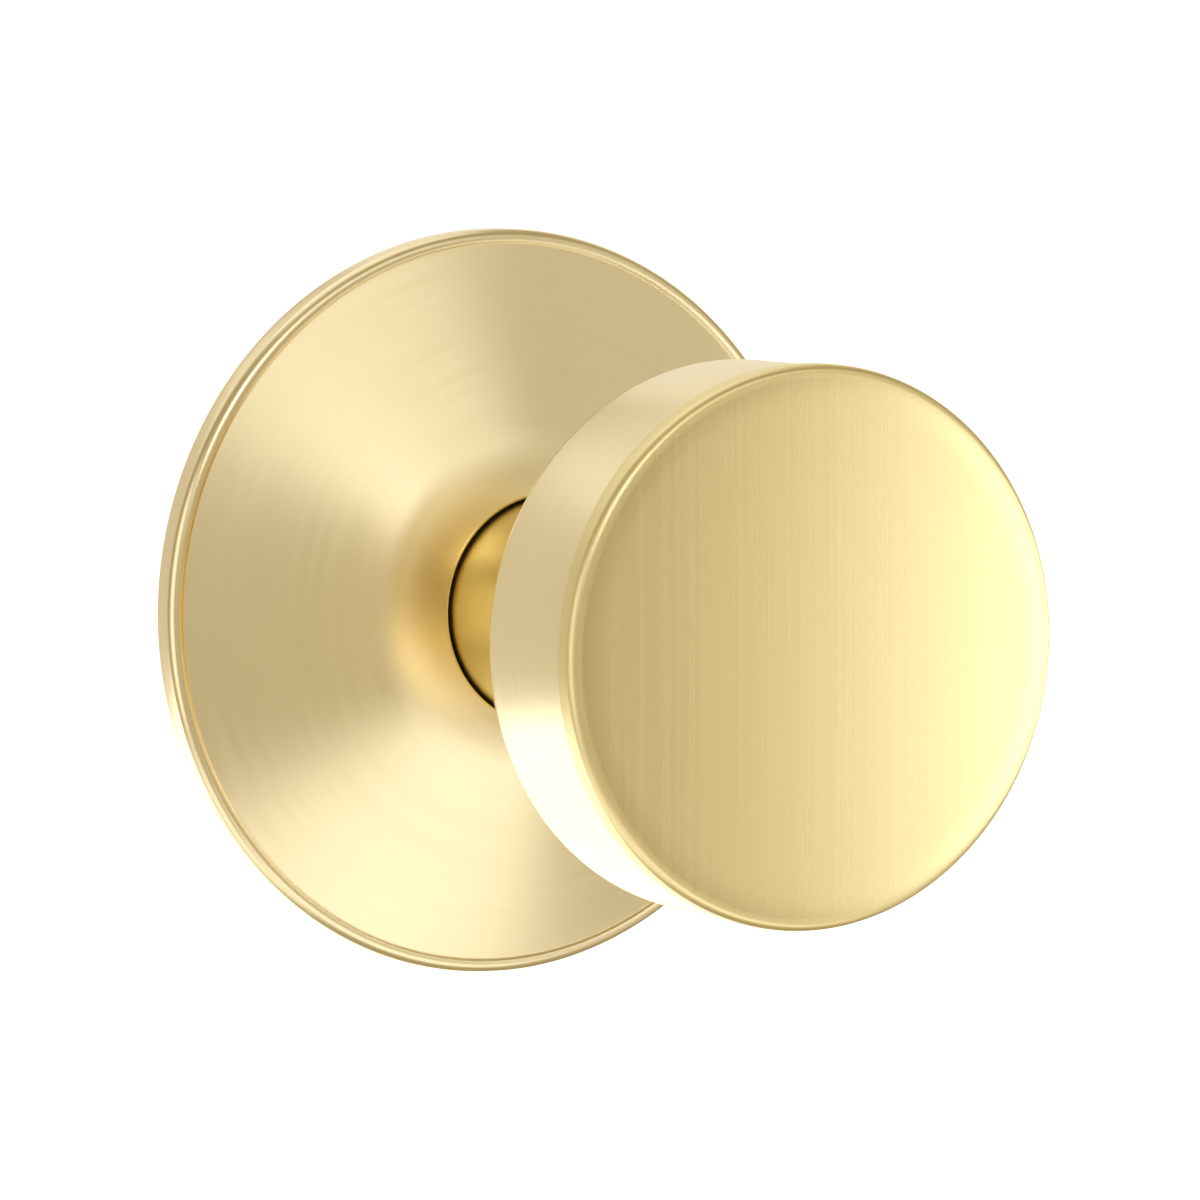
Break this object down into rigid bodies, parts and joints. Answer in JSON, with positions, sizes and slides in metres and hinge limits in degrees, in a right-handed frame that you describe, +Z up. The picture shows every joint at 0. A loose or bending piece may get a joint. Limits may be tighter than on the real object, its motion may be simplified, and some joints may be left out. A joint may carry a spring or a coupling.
{
  "type": "door knob",
  "caption": "Round drum-shaped door knob on a conical rose in satin brass, with spring chassis, D-shaped spindle and threaded posts for a tubular latch.",
  "frame": {"origin": "centre of the rose's back, where the knob's axis meets the door's face", "axes": "+Y points into the door along the knob's axis, the knob stands out along -Y, +X is to the right of someone facing the knob, +Z is up"},
  "size_m": [0.066, 0.099, 0.066],
  "materials": {
    "satin_brass": "satin, brushed round the axis, clear lacquer",
    "satin_brass_face": "satin, brushed in straight upright lines, clear lacquer",
    "nylon": "moulded, matte",
    "zinc_plate": "bright zinc plating on pressed or turned steel",
    "die_casting": "tumbled zinc die casting, matte",
    "bronze": "sintered bronze, satin",
    "steel": "oiled pressed steel",
    "spring_steel": "blued spring steel"
  },
  "bodies": {
    "root": {"rose": "satin_brass", "rose_liner": "nylon", "base_plate": "zinc_plate", "post_left": "zinc_plate", "post_right": "zinc_plate", "spring_cage": "die_casting", "cage_rivets": "steel", "hub_bush": "bronze", "return_spring": "spring_steel"},
    "knob": {"knob_face": "satin_brass_face", "knob_cup": "satin_brass", "knob_neck": "satin_brass", "knob_shank": "steel", "knob_core": "steel", "drive_tube": "steel", "spring_driver": "steel", "thrust_washer": "bronze", "retaining_ring": "spring_steel", "spindle_hub": "die_casting", "spindle": "zinc_plate", "spindle_pin": "spring_steel", "catch_spring": "spring_steel"},
    "catch": {"knob_catch": "steel"}
  },
  "joints": [
    {"name": "knob_turn", "type": "hinge", "parent": "root", "child": "knob", "pos_m": [0, 0, 0], "axis": [0, -1, 0], "range_deg": [-60, 60], "stiffness_Nm_per_rad": 0.3, "deforming": ["return_spring"]},
    {"name": "catch_press", "type": "slide", "parent": "knob", "child": "catch", "axis": [0, 0, 1], "range_m": [0, 0.0014], "stiffness_N_per_m": 250, "deforming": ["catch_spring"]}
  ]
}
